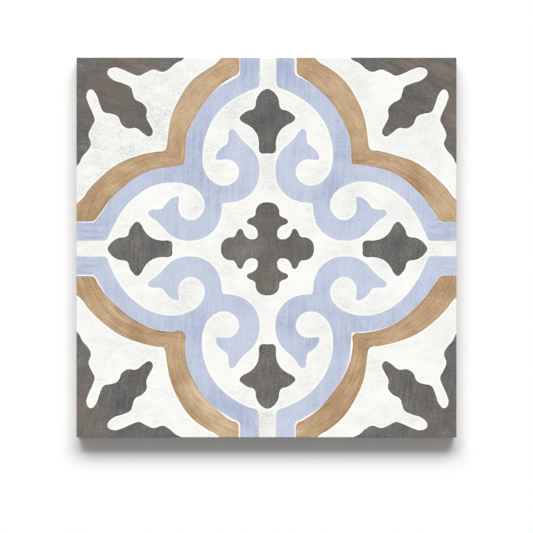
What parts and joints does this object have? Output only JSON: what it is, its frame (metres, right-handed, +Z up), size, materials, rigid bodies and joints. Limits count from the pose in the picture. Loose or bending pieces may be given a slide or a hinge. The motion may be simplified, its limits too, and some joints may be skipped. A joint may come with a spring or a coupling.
{
  "type": "encaustic-look tile",
  "caption": "Square porcelain floor or wall tile with a flat matt face in a traditional cement-tile ornament, eased arrises, leaning lower edges and a waffle-keyed back.",
  "frame": {"origin": "centre of the back, in the plane of the rib crowns that the tile lies on", "axes": "+Z up through the printed face, +X to the right and +Y to the top of the pattern as pictured, both square to the edges"},
  "size_m": [0.2, 0.2, 0.009],
  "materials": {
    "glazed_porcelain": "matt glaze"
  },
  "bodies": {
    "root": {"tile": "glazed_porcelain"}
  },
  "joints": []
}
